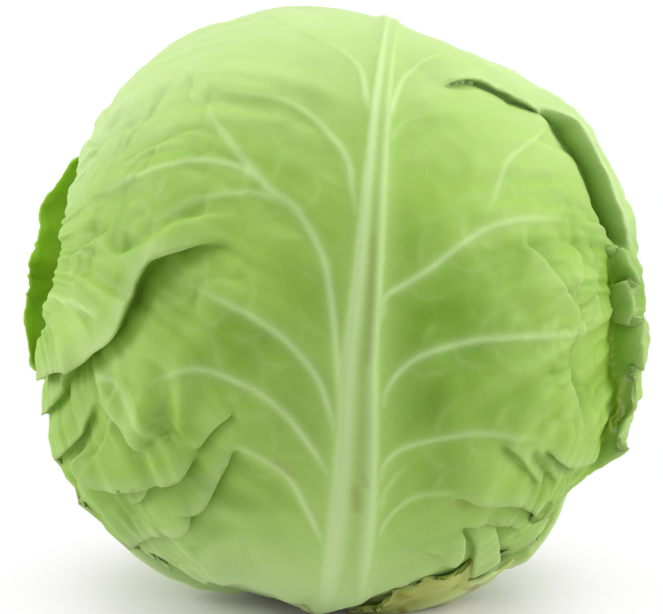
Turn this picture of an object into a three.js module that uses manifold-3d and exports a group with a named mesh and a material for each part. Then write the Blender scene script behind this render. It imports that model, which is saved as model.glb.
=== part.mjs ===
// A white cabbage head as cut for sale: a trimmed stem, a tight heart and the
// wrapper leaves folded round it, resting on a small flat spot near the stem.
// Millimetres, +Z up. The rib of the front leaf faces -Y.
import * as THREE from 'three';
import { mergeVertices } from 'three/addons/utils/BufferGeometryUtils.js';
import Module from 'manifold-3d';

const wasm = await Module();
wasm.setup();

// Driving dimensions of the head
const HEAD_RADIUS = 85.5;      // across, at the widest turn
const HEAD_HALF_LENGTH = 90;   // centre to crown along the growth axis
const ROUNDNESS = 2.2;         // 2 is an ellipse, more is fuller in the shoulders
const LEAN_BACK = 15;          // degrees, the crown leans away from the front
const LEAN_SIDE = 3.5;         // degrees, the crown leans to the right
const CENTRE_HEIGHT = 85;      // centre above the surface, so the foot is pressed flat
const CENTRE_RIGHT = -1.5;     // centre from the middle of the flat spot, to the right
const CENTRE_BACK = -16.5;     // and to the back: the flat spot lies behind the stem

// Driving dimensions of the leaves
const BLADE = 1.2;             // thickness of a leaf blade
const LEAF_GAP = 0.9;          // air between one leaf and the next
const LAYER = BLADE + LEAF_GAP;
const LEAF_START = 9.8;        // degrees from the stem pole to a leaf's attachment
const NET_CROWDING = 1.35;     // above 1 a leaf's net is finer towards the stem
const SWELL = 0.5;             // height of the soft swellings all over a leaf
const RIB_REACH = 150;         // degrees from the stem pole where the rib is slightest
const RIB_TAPER = 0.32;        // its width and height there, as a share of those at the base
const RAGGED_TURN = 2.4;       // radians from one tooth of a ragged margin to the next
const FOLD_SIDES = [-1.5, 2.5]; // degrees before and behind a fold line that its step takes
const FOLD_ENDS = [0.22, 0.86]; // shares of a fold line over which it opens and closes
const FLARE_OPENS = [28, 60];  // degrees up the rib where the margin starts to stand off
const FLARE_CLOSES = [135, 165]; // and where it lies down again towards the tip
const MARGIN_SHARE = 0.8;      // share of the half width past which it counts as margin

// How a leaf gives way under the leaves outside it
const PRESSED_GAP = 0.8;       // air that is left where one leaf presses on the next
const PRESS_REACH = 2.6;       // degrees round a point over which an outer leaf presses
const PRESS_POINTS = [[0, 0], [1, 0], [-1, 0], [0, 1], [0, -1]];
const OUTLINE_MARGIN = 5;      // degrees past its margin over which a leaf still presses
const EDGE_OPENING = 0.5;      // millimetres of room gained for each degree past that
const OPEN_AIR = 20;           // degrees past the margin where nothing presses

// Driving dimensions of the heart and the stem
const HEART_LAYER = 4.7;       // layers below the front leaf
const HEART_LEAF_TURN = 137.5; // degrees from one heart leaf to the next
const HEART_LEAVES = 6;
const HEART_LEAF_HALF = 62;    // degrees from a heart leaf's rib to its margin
const HEART_STEP = 0.9;        // how far the outermost heart leaf stands out
const HEART_ROWS = 16;
const HEART_COLUMNS = 22;
const STEM_RADIUS = 14.5;
const STEM_NECK = 0.82;        // share of that radius where the stem enters the heart
const STEM_CUT = 83.8;         // centre to the cut face of the stem
const STEM_SIDES = 16;
const STUB_TURNS = [-8, 118, 236]; // degrees round the stem
const STUB_RADIUS = 4.2;
const STUB_ROOT = 3;           // depth of a stub in the stem
const STUB_HEIGHT = 1;         // and its height out of it
const STUB_SIDES = 8;
const TOUCH_GAP = 0.5;         // between the stem and what grows from it

const radians = THREE.MathUtils.degToRad;
const degrees = THREE.MathUtils.radToDeg;
const smooth = (value, low, high) => THREE.MathUtils.smoothstep(value, low, high);

// The growth axis, the outward direction of the front rib's side, and across
const crown = new THREE.Vector3(
  Math.sin(radians(LEAN_SIDE)),
  Math.sin(radians(LEAN_BACK)) * Math.cos(radians(LEAN_SIDE)),
  Math.cos(radians(LEAN_BACK)) * Math.cos(radians(LEAN_SIDE)),
);
const front = new THREE.Vector3(0, -1, 0);
front.addScaledVector(crown, -front.dot(crown)).normalize();
const across = new THREE.Vector3().crossVectors(crown, front);
const centre = new THREE.Vector3(CENTRE_RIGHT, CENTRE_BACK, CENTRE_HEIGHT);

// The plain rounded form of the head, as a radius in each direction
function headRadius(direction) {
  const along = Math.abs(direction.dot(crown));
  const out = Math.sqrt(Math.max(0, 1 - along * along));
  const sum = (out / HEAD_RADIUS) ** ROUNDNESS + (along / HEAD_HALF_LENGTH) ** ROUNDNESS;
  return sum ** (-1 / ROUNDNESS);
}

// The radius at which a direction meets the surface that the head rests on
function floorRadius(direction) {
  return direction.z < 0 ? -CENTRE_HEIGHT / direction.z : Infinity;
}

// A leaf's own net of angles: s runs up its rib from the stem pole over the
// crown, w runs across from the rib.
function leafFrame(turn) {
  const outward = front.clone().multiplyScalar(Math.cos(radians(turn)));
  outward.addScaledVector(across, Math.sin(radians(turn)));
  const side = new THREE.Vector3().crossVectors(crown, outward);
  return {
    direction(s, w) {
      const rib = crown.clone().multiplyScalar(-Math.cos(radians(s)));
      rib.addScaledVector(outward, Math.sin(radians(s)));
      return rib.multiplyScalar(Math.cos(radians(w))).addScaledVector(side, Math.sin(radians(w)));
    },
    angles(direction) {
      const s = degrees(Math.atan2(direction.dot(outward), -direction.dot(crown)));
      const w = degrees(Math.asin(THREE.MathUtils.clamp(direction.dot(side), -1, 1)));
      return { s: s < -90 ? s + 360 : s, w };
    },
  };
}

// Reads a smooth value out of a short list of [place, value, ...] rows
function readRow(rows, place, column) {
  if (place <= rows[0][0]) return rows[0][column];
  for (let i = 1; i < rows.length; i += 1) {
    if (place <= rows[i][0]) {
      const share = (place - rows[i - 1][0]) / (rows[i][0] - rows[i - 1][0]);
      return THREE.MathUtils.lerp(rows[i - 1][column], rows[i][column], share);
    }
  }
  return rows[rows.length - 1][column];
}

// A leaf's half width at a place up its rib, on the side that w is on
function halfWidth(leaf, s, w) {
  return readRow(leaf.outline, s, w < 0 ? 1 : 2);
}

// Signed distance in degrees to a fold line of [s, w] points, positive on its
// left, and how far along the line the nearest point lies, from 0 to 1.
function besideLine(line, s, w) {
  let best = { distance: Infinity, side: 1, along: 0 };
  for (let i = 1; i < line.length; i += 1) {
    const [s0, w0] = line[i - 1];
    const [s1, w1] = line[i];
    const runS = s1 - s0;
    const runW = w1 - w0;
    const share = THREE.MathUtils.clamp(
      ((s - s0) * runS + (w - w0) * runW) / (runS * runS + runW * runW), 0, 1,
    );
    const distance = Math.hypot(s - s0 - share * runS, w - w0 - share * runW);
    if (distance < best.distance) {
      const side = Math.sign(runW * (s - s0) - runS * (w - w0)) || 1;
      best = { distance, side, along: (i - 1 + share) / (line.length - 1) };
    }
  }
  return { distance: best.distance * best.side, along: best.along };
}

// A fold lifts the leaf on one side of its line, sharply at the line and
// fading behind it.
function foldLift(fold, s, w) {
  const { distance, along } = besideLine(fold.line, s, w);
  const ends = smooth(along, 0, FOLD_ENDS[0]) * (1 - smooth(along, FOLD_ENDS[1], 1));
  const rise = smooth(distance, ...FOLD_SIDES);
  return fold.lift * ends * rise * Math.exp(-Math.max(0, distance) / fold.fade);
}

// The rib stands out of the leaf, broad and thick at the stem
function ribLift(leaf, s, w) {
  const taper = THREE.MathUtils.lerp(1, RIB_TAPER, smooth(s, LEAF_START, RIB_REACH));
  const off = w - readRow(leaf.ribCourse, s, 1);
  return leaf.ribHeight * taper * Math.exp(-((off / (leaf.ribWidth * taper)) ** 2));
}

// Broad swellings of a leaf, and dips where the height is negative
function bulgeLift(leaf, direction) {
  let lift = 0;
  for (const [s, w, reach, height] of leaf.bulges) {
    const away = degrees(leaf.frame.direction(s, w).angleTo(direction));
    lift += height * Math.exp(-((away / reach) ** 2));
  }
  return lift;
}

// The margins wave and stand off the head
function marginLift(leaf, s, w) {
  const flare = w < 0 ? leaf.flareLeft : leaf.flareRight;
  const open = smooth(s, ...FLARE_OPENS) * (1 - smooth(s, ...FLARE_CLOSES));
  const nearEdge = smooth(Math.abs(w) / halfWidth(leaf, s, w), MARGIN_SHARE, 1);
  const wave = 0.5 + 0.5 * Math.sin(s * leaf.waveCount + leaf.wavePhase + Math.sign(w));
  return nearEdge * (flare * open + leaf.waveHeight * wave);
}

// How far a direction lies outside a leaf's outline, in degrees
function outsideOutline(leaf, s, w) {
  const half = halfWidth(leaf, s, w);
  const endS = leafEnd(leaf, w / half);
  return Math.max(0, Math.abs(w) - half, leafStart(w) - s, s - endS);
}

// The attached end follows the round of the stem
function leafStart(w) {
  return degrees(Math.acos(Math.min(1, Math.cos(radians(LEAF_START)) / Math.cos(radians(w)))));
}

// The tip is rounded: its sides end before its middle does
function leafEnd(leaf, share) {
  return leaf.end - leaf.tipRound * THREE.MathUtils.clamp(share, -1, 1) ** 2;
}

// The outer face of a leaf in a direction. A leaf is pressed in by the surface
// below and by each leaf that lies outside it.
function outerRadius(leaf, direction) {
  const { s, w } = leaf.frame.angles(direction);
  const swell = SWELL * Math.sin(radians(3 * s + 40 * leaf.layer)) * Math.cos(radians(2.5 * w));
  let radius = headRadius(direction) - leaf.layer * LAYER + swell;
  radius += ribLift(leaf, s, w) + marginLift(leaf, s, w) + bulgeLift(leaf, direction);
  for (const fold of leaf.folds) {
    radius += foldLift(fold, s, w);
  }
  return Math.min(radius, floorRadius(direction), roomUnder(leaf.outside, direction));
}

// The room that the leaves outside leave in and round a direction. Beyond
// their outline the room opens up again.
function roomUnder(outside, direction) {
  let room = Infinity;
  const sideways = new THREE.Vector3().crossVectors(direction, crown).normalize();
  const upward = new THREE.Vector3().crossVectors(sideways, direction);
  for (const [right, up] of PRESS_POINTS) {
    const near = direction.clone().addScaledVector(sideways, right * Math.tan(radians(PRESS_REACH)));
    near.addScaledVector(upward, up * Math.tan(radians(PRESS_REACH))).normalize();
    for (const leaf of outside) {
      const { s, w } = leaf.frame.angles(near);
      const beyond = Math.max(0, outsideOutline(leaf, s, w) - OUTLINE_MARGIN);
      if (beyond < OPEN_AIR) {
        const under = outerRadius(leaf, near) - BLADE - PRESSED_GAP;
        room = Math.min(room, under + EDGE_OPENING * beyond);
      }
    }
  }
  return room;
}

// One closed thin shell: two faces split alike, joined round the margin
function leafGeometry(leaf) {
  const outer = [];
  const inner = [];
  for (let i = 0; i <= leaf.rows; i += 1) {
    for (let j = 0; j <= leaf.columns; j += 1) {
      const share = (2 * j) / leaf.columns - 1;
      const up = (i / leaf.rows) ** NET_CROWDING;
      const start = leafStart(share * halfWidth(leaf, 0, share));
      const s = THREE.MathUtils.lerp(start, leafEnd(leaf, share), up);
      const ragged = Math.sin(i * RAGGED_TURN + leaf.wavePhase) * smooth(Math.abs(share), 0.9, 1);
      const w = share * halfWidth(leaf, s, share) + Math.sign(share) * leaf.notch * ragged;
      const direction = leaf.frame.direction(s, w);
      const radius = outerRadius(leaf, direction);
      outer.push(direction.clone().multiplyScalar(radius).add(centre));
      inner.push(direction.clone().multiplyScalar(radius - BLADE).add(centre));
    }
  }
  return shellGeometry(outer, inner, leaf.rows, leaf.columns);
}

function shellGeometry(outer, inner, rows, columns) {
  const positions = [];
  for (const point of [...outer, ...inner]) {
    positions.push(point.x, point.y, point.z);
  }
  const index = [];
  const width = columns + 1;
  const size = outer.length;
  for (let i = 0; i < rows; i += 1) {
    for (let j = 0; j < columns; j += 1) {
      const a = i * width + j;
      const b = a + 1;
      const c = a + width;
      const d = c + 1;
      index.push(a, b, d, a, d, c);
      index.push(size + a, size + d, size + b, size + a, size + c, size + d);
    }
  }
  const rim = [];
  for (let j = 0; j < columns; j += 1) rim.push(j);
  for (let i = 0; i < rows; i += 1) rim.push(i * width + columns);
  for (let j = columns; j > 0; j -= 1) rim.push(rows * width + j);
  for (let i = rows; i > 0; i -= 1) rim.push(i * width);
  rim.forEach((here, k) => {
    const next = rim[(k + 1) % rim.length];
    index.push(here, size + here, size + next, here, size + next, next);
  });
  const geometry = new THREE.BufferGeometry();
  geometry.setAttribute('position', new THREE.Float32BufferAttribute(positions, 3));
  geometry.setIndex(index);
  geometry.computeVertexNormals();
  return geometry;
}

// The wrapper leaves, from the outermost inward. An outline row is
// [s, half width on the left, half width on the right], a row of the rib's
// course is [s, w] and a bulge is [s, w, reach in degrees, height].
const leafPlans = [
  {
    name: 'torn_leaf_base',
    turn: 75,
    layer: -1,
    rows: 5,
    columns: 8,
    end: 33,
    tipRound: 7,
    outline: [[0, 6, 6], [10, 9, 9], [16, 12, 11], [24, 15, 10], [33, 12, 7]],
    ribCourse: [[0, 0]],
    bulges: [],
    ribWidth: 6,
    ribHeight: 1.2,
    flareLeft: 0,
    flareRight: 0,
    waveHeight: 0.8,
    waveCount: 1.1,
    wavePhase: 0.5,
    notch: 2.4,
    folds: [],
    color: 0xb4c67a,
  },
  {
    name: 'leaf_front',
    turn: 6,
    layer: 0,
    rows: 36,
    columns: 34,
    end: 200,
    tipRound: 16,
    outline: [
      [0, 9, 8], [4, 24, 11], [7, 42, 14], [10, 54, 18], [13, 61, 25],
      [16, 65, 42], [19, 68, 55], [24, 70, 62], [36, 72, 66], [60, 73, 70], [80, 74, 76],
      [110, 73, 77], [135, 71, 74], [155, 65, 66], [175, 53, 53], [200, 34, 34],
    ],
    ribCourse: [[20, 2.5], [46, 1], [75, -0.8], [107, 0], [125, 1.2], [137, 2.7], [154, 5.1], [175, 7]],
    bulges: [[167, 19, 17, -6], [22, 64, 12, 4], [0, -55, 20, 3.5]],
    ribWidth: 7,
    ribHeight: 4.2,
    flareLeft: 0.5,
    flareRight: 3.5,
    waveHeight: 1.3,
    waveCount: 0.31,
    wavePhase: 1.2,
    notch: 0.9,
    folds: [
      // Upper right: the upper lobe rolls out over the lower one
      {
        line: [
          [131, 10], [135, 22], [135, 38], [131, 50], [121, 57], [105, 62], [85, 64], [62, 62],
          [46, 56],
        ],
        lift: 8,
        fade: 34,
      },
      // Left: the shoulder folds over the hollow below it
      {
        line: [[34, -71], [50, -64], [62, -57], [72, -51], [82, -49], [90, -46], [96, -37], [97, -25]],
        lift: 5.5,
        fade: 15,
      },
      // Lower left: three crumpled flaps, one over the other
      { line: [[24, -54], [31, -46], [38, -40], [47, -32], [53, -27]], lift: 5.5, fade: 10 },
      { line: [[30, -36], [37, -30], [46, -24], [55, -20]], lift: 4, fade: 8 },
      { line: [[10, -42], [18, -37], [31, -31], [42, -25]], lift: 4.5, fade: 9 },
      // Lower right: the pleat over the tucked base
      { line: [[51, 17], [49, 25], [45, 33], [36, 39], [28, 41]], lift: 4.5, fade: 13 },
    ],
    color: 0x9cc566,
  },
  {
    name: 'leaf_back',
    turn: 184,
    layer: 1,
    rows: 24,
    columns: 22,
    end: 172,
    tipRound: 20,
    outline: [
      [0, 9, 9], [7, 15, 15], [11, 23, 23], [16, 36, 36], [24, 52, 52], [40, 65, 66],
      [70, 71, 73], [110, 71, 73], [140, 62, 62], [172, 36, 36],
    ],
    ribCourse: [[0, 0]],
    bulges: [],
    ribWidth: 7,
    ribHeight: 4,
    flareLeft: 6,
    flareRight: 10,
    waveHeight: 1.6,
    waveCount: 0.27,
    wavePhase: 0.3,
    notch: 1.2,
    folds: [
      { line: [[60, -62], [74, -50], [92, -42], [104, -28]], lift: 3, fade: 14 },
      { line: [[88, 26], [78, 40], [62, 52], [50, 62]], lift: 3, fade: 14 },
    ],
    color: 0x94c05c,
  },
  {
    name: 'leaf_left',
    turn: -74,
    layer: 2,
    rows: 19,
    columns: 16,
    end: 172,
    tipRound: 18,
    outline: [
      [0, 9, 9], [7, 15, 15], [11, 23, 23], [16, 35, 34], [24, 50, 48], [40, 60, 58],
      [70, 67, 66], [110, 67, 66], [140, 58, 58], [172, 34, 34],
    ],
    ribCourse: [[0, 0]],
    bulges: [[34, -9, 16, 6]],
    ribWidth: 8,
    ribHeight: 2.4,
    flareLeft: 1.5,
    flareRight: 0,
    waveHeight: 0.9,
    waveCount: 0.3,
    wavePhase: 2.1,
    notch: 0.9,
    folds: [],
    color: 0x8fbf4e,
  },
  {
    name: 'leaf_right',
    turn: 88,
    layer: 3,
    rows: 19,
    columns: 16,
    end: 172,
    tipRound: 18,
    outline: [
      [0, 9, 9], [7, 14, 15], [11, 21, 23], [16, 31, 34], [24, 46, 48], [40, 58, 60],
      [70, 66, 67], [110, 66, 67], [140, 58, 58], [172, 34, 34],
    ],
    ribCourse: [[0, 0]],
    bulges: [[42, -2, 16, 8]],
    ribWidth: 8,
    ribHeight: 2.4,
    flareLeft: 0,
    flareRight: 1.5,
    waveHeight: 1.1,
    waveCount: 0.34,
    wavePhase: 4.0,
    notch: 0.9,
    folds: [],
    color: 0x98c552,
  },
];

const leaves = [];
for (const plan of leafPlans) {
  leaves.push({ ...plan, frame: leafFrame(plan.turn), outside: [...leaves] });
}

// The heart: the dense inner head, whose own leaves overlap in spiral steps
function heartStep(direction) {
  let step = 0;
  for (let k = 0; k < HEART_LEAVES; k += 1) {
    const { s, w } = leafFrame(HEART_LEAF_TURN * k).angles(direction);
    const half = HEART_LEAF_HALF * Math.sin(radians(THREE.MathUtils.clamp(s, 8, 172)));
    const inside = smooth(half - Math.abs(w), -2, 4);
    step = Math.max(step, inside * HEART_STEP * (1 - k / HEART_LEAVES));
  }
  return step;
}

// A closed geometry with its shared vertices merged
function merged(geometry) {
  geometry.deleteAttribute('normal');
  geometry.deleteAttribute('uv');
  return mergeVertices(geometry, 1e-4);
}

const alongCrown = new THREE.Quaternion().setFromUnitVectors(new THREE.Vector3(0, 1, 0), crown);

function heartGeometry() {
  const geometry = merged(new THREE.SphereGeometry(1, HEART_COLUMNS, HEART_ROWS));
  geometry.applyQuaternion(alongCrown);
  const place = geometry.attributes.position;
  for (let i = 0; i < place.count; i += 1) {
    const direction = new THREE.Vector3().fromBufferAttribute(place, i).normalize();
    let radius = headRadius(direction) - HEART_LAYER * LAYER + heartStep(direction);
    radius = Math.min(radius, roomUnder(leaves, direction), floorRadius(direction) - 2 * LAYER);
    place.setXYZ(i, ...direction.multiplyScalar(radius).add(centre));
  }
  geometry.computeVertexNormals();
  return geometry;
}

// The stem: a short cut butt with the stubs of trimmed leaf stalks on it
function toSolid(geometry) {
  return new wasm.Manifold(new wasm.Mesh({
    numProp: 3,
    vertProperties: new Float32Array(geometry.attributes.position.array),
    triVerts: new Uint32Array(geometry.index.array),
  }));
}

function fromSolid(solid) {
  const mesh = solid.getMesh();
  const geometry = new THREE.BufferGeometry();
  geometry.setAttribute('position', new THREE.Float32BufferAttribute(mesh.vertProperties, 3));
  geometry.setIndex([...mesh.triVerts]);
  geometry.computeVertexNormals();
  return geometry;
}

// A turned solid along the growth axis, from one distance below the centre to
// another, with its radius at each end and its axis moved sideways.
function turnedSolid(near, far, nearRadius, farRadius, sides, sideways) {
  const geometry = merged(new THREE.CylinderGeometry(nearRadius, farRadius, far - near, sides, 1));
  geometry.applyQuaternion(alongCrown);
  const middle = centre.clone().addScaledVector(crown, -(near + far) / 2).add(sideways);
  geometry.translate(middle.x, middle.y, middle.z);
  return toSolid(geometry);
}

function stemGeometry() {
  const neck = HEAD_HALF_LENGTH - HEART_LAYER * LAYER + HEART_STEP + TOUCH_GAP;
  const onAxis = new THREE.Vector3();
  let stem = turnedSolid(neck, STEM_CUT, STEM_RADIUS * STEM_NECK, STEM_RADIUS, STEM_SIDES, onAxis);
  for (const turn of STUB_TURNS) {
    const sideways = front.clone().multiplyScalar(Math.cos(radians(turn)));
    sideways.addScaledVector(across, Math.sin(radians(turn)));
    sideways.multiplyScalar(STEM_RADIUS - STUB_RADIUS - TOUCH_GAP);
    const root = STEM_CUT - STUB_ROOT;
    const tip = STEM_CUT + STUB_HEIGHT;
    stem = stem.add(turnedSolid(root, tip, STUB_RADIUS, STUB_RADIUS * STEM_NECK, STUB_SIDES, sideways));
  }
  return fromSolid(stem);
}

function named(name, geometry, color) {
  const material = new THREE.MeshStandardMaterial({ color, roughness: 0.55, metalness: 0 });
  const mesh = new THREE.Mesh(geometry, material);
  mesh.name = name;
  return mesh;
}

const cabbage = new THREE.Group();
cabbage.name = 'cabbage_head';
for (const leaf of leaves) {
  cabbage.add(named(leaf.name, leafGeometry(leaf), leaf.color));
}
cabbage.add(named('heart', heartGeometry(), 0xc6dc9a));
cabbage.add(named('stem', stemGeometry(), 0xd9dcae));

export default cabbage;
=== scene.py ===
import math

import bpy
import numpy as np
from bpy.props import FloatProperty, FloatVectorProperty, PointerProperty
from mathutils import Matrix, Vector


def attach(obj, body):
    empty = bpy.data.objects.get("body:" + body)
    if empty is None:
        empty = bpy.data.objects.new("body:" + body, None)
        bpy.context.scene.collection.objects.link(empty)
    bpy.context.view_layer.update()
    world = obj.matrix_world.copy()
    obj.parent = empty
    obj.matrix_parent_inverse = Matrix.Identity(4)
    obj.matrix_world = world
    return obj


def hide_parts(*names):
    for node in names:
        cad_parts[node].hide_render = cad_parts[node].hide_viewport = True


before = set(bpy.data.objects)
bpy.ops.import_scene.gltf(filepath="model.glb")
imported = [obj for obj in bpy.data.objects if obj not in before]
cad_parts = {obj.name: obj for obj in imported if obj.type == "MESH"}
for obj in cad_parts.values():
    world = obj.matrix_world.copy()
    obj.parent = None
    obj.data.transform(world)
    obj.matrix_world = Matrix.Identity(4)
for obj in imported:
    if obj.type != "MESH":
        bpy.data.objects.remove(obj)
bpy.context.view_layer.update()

bl_info = {
    "name": "Cabbage head",
    "version": (1, 0, 0),
    "blender": (4, 5, 0),
    "location": "View3D > Sidebar > Cabbage",
    "description": "Leaves, heart and stem of a white cabbage head",
    "category": "Add Mesh",
}

MILLIMETRE = 0.001
VIEW_WIDTH = 663
VIEW_HEIGHT = 614
HEAD_PIXEL = (331.0, 308.0)
PIXELS_PER_MM = 3.33

# How the leaves lie on each other, in millimetres and degrees. Two taper values
# are shares: a blade's thickness at its margin and a rib's size at its end.
BLADE = 1.2
LEAF_GAP = 0.9
LAYER = BLADE + LEAF_GAP
LEAF_START = 9.8
PRESSED_GAP = 1.3
OUTLINE_MARGIN = 1.5
EDGE_OPENING = 0.7
MARGIN_BLADE = 0.55
RIB_REACH = 150
RIB_TAPER = 0.32
# Margins start and stop standing off over these angles up the rib, and over
# these shares of the leaf's half width
FLARE_STARTS = (28, 60)
FLARE_ENDS = (135, 165)
FLARE_MARGIN = (0.8, 1.0)

# The margins: how far a base is torn for a leaf's raggedness, waves along a
# margin, and the end under which a leaf is a torn base
TORN_BASE = 2.2
MARGIN_WAVES = (9, 23, 51)
SHORT_LEAF = 100
# Notch in the front leaf's base for the stub: angle off the rib, width, depth
STUB_NOTCH = (-2.9, 2.5, 3.8)

# Shares of a fold's run where it has risen and starts to fall, degrees that it runs on past its ends, and the
# height in millimetres from which a fold gets its full painted shade and highlight
FOLD_RISES = 0.22
FOLD_FALLS = 0.82
PAST_FOLD = 3
FULL_MARK = 4

# Veins: share of their listed half width, the least half width in degrees times
# the columns of the leaf's net, and the blade's step over a vein in millimetres
VEIN_WIDTH = 0.62
FINEST_VEIN = 162
VEIN_STEP = 0.45

# Search along the camera's rays: from and to in millimetres before and past the
# head's centre, and the number of steps
SEARCH_NEAR = 120
SEARCH_FAR = 20
SEARCH_STEPS = 3000

STAIN_COLOUR = (0.30, 0.20, 0.04, 1)
# How far the veinlets are bent, in metres
VEINLET_BEND = (0.004, 0.004, 0.004)

# The leaves, outermost first. An outline row is the angle up the rib, then
# the half width on the left and on the right, all in degrees. A row of the
# rib's course is the angle up and off it. A bulge is those two angles, its
# reach in degrees and its height in millimetres. A rib is its half width in
# degrees and its height, and a flare how far each margin stands off. Ragged is
# how ragged the margins are, in degrees. The layer counts blades from outside.
LEAVES = {
    "torn_leaf_base": {
        "turn": 75, "layer": -1, "end": 36, "tip_round": 5,
        "outline": [(0, 6, 6), (10, 9, 9), (16, 12, 11), (24, 15, 10), (33, 12, 7)],
        "ragged": 2.6, "rib": (6, 1.2), "flare": (0, 0),
    },
    "leaf_front": {
        "turn": 6, "layer": 0, "end": 200, "tip_round": 16,
        "outline": [
            (0, 9, 8), (4, 24, 11), (7, 42, 14), (10, 54, 18), (13, 61, 25), (16, 65, 42),
            (19, 68, 55), (24, 70, 62), (36, 72, 66), (60, 73, 70), (80, 74, 76), (110, 73, 77),
            (135, 71, 74), (155, 65, 66), (175, 53, 53), (200, 34, 34),
        ],
        "ragged": 0.6, "rib": (7, 4.2), "flare": (0.5, 3.5),
        "course": [(20, 2.5), (46, 1), (75, -0.8), (107, 0), (125, 1.2), (137, 2.7), (154, 5.1), (175, 7)],
        "bulges": [(167, 19, 17, -6), (22, 64, 12, 4), (0, -55, 20, 3.5)],
    },
    "leaf_back": {
        "turn": 184, "layer": 1, "end": 172, "tip_round": 20,
        "outline": [
            (0, 9, 9), (7, 15, 15), (11, 23, 23), (16, 36, 36), (24, 52, 52), (40, 65, 66),
            (70, 71, 73), (110, 71, 73), (140, 62, 62), (172, 36, 36),
        ],
        "ragged": 0.9, "rib": (7, 4), "flare": (6, 12),
    },
    "leaf_left": {
        "turn": -74, "layer": 2, "end": 172, "tip_round": 18,
        "outline": [
            (0, 9, 9), (7, 15, 15), (11, 23, 23), (16, 35, 34), (24, 50, 48), (40, 60, 58),
            (70, 67, 66), (110, 67, 66), (140, 58, 58), (172, 34, 34),
        ],
        "ragged": 0.8, "rib": (8, 2.4), "flare": (1.5, 0), "bulges": [(34, -9, 16, 6)],
    },
    "leaf_right": {
        "turn": 88, "layer": 3, "end": 172, "tip_round": 18,
        "outline": [
            (0, 9, 9), (7, 14, 15), (11, 21, 23), (16, 31, 34), (24, 46, 48), (40, 58, 60),
            (70, 66, 67), (110, 66, 67), (140, 58, 58), (172, 34, 34),
        ],
        "ragged": 1.2, "rib": (8, 2.4), "flare": (0, 1.5), "bulges": [(42, -2, 16, 8)],
    },
}

# Veins of the front leaf as the camera sees them, in pixels of the view.
# The numbers are half widths in degrees at the rib and at the margin.
FRONT_VEINS = [
    ((1.1, 0.5), [(371, 118), (366, 100), (361, 72), (351, 59), (330, 45), (301, 30), (274, 19),
        (246, 12)]),
    ((0.7, 0.4), [(376, 62), (370, 44), (360, 33), (349, 19), (330, 12)]),
    ((0.9, 0.4), [(356, 215), (352, 190), (347, 161), (330, 136), (305, 112), (274, 99), (242, 96),
        (217, 90), (196, 83), (179, 74), (150, 74)]),
    ((0.4, 0.3), [(217, 105), (253, 120), (288, 126)]),
    ((1.2, 0.6), [(342, 410), (338, 370), (335, 330), (330, 290), (324, 261), (312, 234), (295, 208),
        (272, 192), (259, 177), (238, 152), (219, 126), (206, 103), (196, 95), (179, 93), (158, 97),
        (135, 109), (112, 122)]),
    ((0.9, 0.5), [(275, 195), (261, 181), (242, 168), (221, 162), (200, 162), (179, 168), (147, 179),
        (126, 187), (101, 196), (78, 204)]),
    ((0.7, 0.4), [(284, 202), (269, 196), (248, 192), (223, 196), (196, 202), (168, 219), (137, 234)]),
    ((1.0, 0.6), [(334, 430), (330, 410), (320, 382), (303, 359), (280, 336), (253, 317), (227, 304),
        (200, 290), (179, 280), (154, 272)]),
    ((0.7, 0.5), [(105, 314), (86, 306), (70, 299), (48, 292)]),
    ((1.0, 0.5), [(328, 470), (322, 460), (305, 437), (284, 414), (253, 390), (221, 376), (194, 369),
        (168, 376), (147, 384), (126, 388)]),
    ((0.7, 0.6), [(101, 374), (118, 382), (131, 401), (147, 422), (164, 439), (179, 452)]),
    ((1.0, 0.5), [(322, 535), (316, 522), (305, 504), (290, 479), (263, 458), (232, 445), (200, 445)]),
    ((1.1, 0.5), [(385, 128), (391, 110), (396, 96), (404, 79), (419, 66), (440, 59), (468, 59),
        (496, 68), (520, 84)]),
    ((0.5, 0.3), [(390, 145), (396, 132), (409, 120), (432, 117), (457, 125)]),
    ((0.8, 0.8), [(547, 125), (538, 136), (521, 149), (506, 163), (500, 183), (491, 204), (479, 221),
        (468, 231)]),
    ((0.9, 0.5), [(381, 318), (385, 297), (400, 287), (425, 272), (440, 261), (462, 244), (487, 229),
        (515, 221), (542, 219), (570, 219), (584, 212)]),
    ((0.9, 0.6), [(382, 405), (385, 389), (400, 370), (421, 355), (449, 346), (479, 340), (510, 338),
        (542, 336), (576, 332), (585, 317), (593, 300), (600, 285)]),
    ((0.8, 0.5), [(380, 476), (383, 461), (400, 449), (426, 442), (457, 436), (483, 433), (510, 434),
        (532, 436), (551, 446)]),
    ((0.6, 0.4), [(380, 505), (382, 491), (394, 476), (415, 461)]),
    ((0.7, 0.5), [(380, 535), (381, 523), (394, 508), (415, 497), (449, 493), (479, 492)]),
]

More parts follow.
